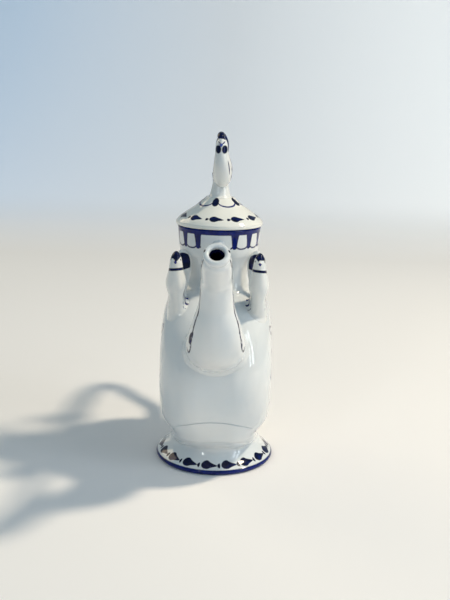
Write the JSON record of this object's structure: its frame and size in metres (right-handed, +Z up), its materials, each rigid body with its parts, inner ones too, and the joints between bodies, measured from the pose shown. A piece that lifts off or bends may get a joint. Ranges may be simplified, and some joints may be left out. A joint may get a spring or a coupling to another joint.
{
  "type": "porcelain teapot",
  "caption": "White glazed porcelain teapot with a disc body on a trumpet foot, S-shaped spout, ear handle, shoulder birds and a lift-off lid with a bird knob.",
  "frame": {"origin": "centre of the foot ring, on the plane the pot stands on", "axes": "+Z up through the neck and lid, -Y towards the spout, +Y towards the handle, X across the thickness of the disc body"},
  "size_m": [0.081, 0.2445, 0.2221],
  "materials": {
    "white_glaze": "clear glossy glaze over white porcelain",
    "foot_glaze": "clear glossy glaze, cobalt drops and dots round the foot",
    "neck_glaze": "clear glossy glaze, cobalt band and scallops",
    "spout_glaze": "clear glossy glaze, fine cobalt lines along both sides",
    "handle_glaze": "clear glossy glaze, cobalt strokes along the strap",
    "bird_glaze": "clear glossy glaze, cobalt cap, wings and tail",
    "lid_glaze": "clear glossy glaze, ring of cobalt drops and scallops"
  },
  "bodies": {
    "pot": {"body_shell": "white_glaze", "foot": "foot_glaze", "neck": "neck_glaze", "spout": "spout_glaze", "spout_bridge": "spout_glaze", "handle": "handle_glaze", "left_bird": "bird_glaze", "right_bird": "bird_glaze"},
    "lid": {"lid_dome": "lid_glaze", "lid_flange": "white_glaze", "finial_bird": "bird_glaze"}
  },
  "joints": [
    {"name": "lid_lift", "type": "slide", "parent": "pot", "child": "lid", "axis": [0, 0, 1], "range_m": [0, 0.06]}
  ]
}
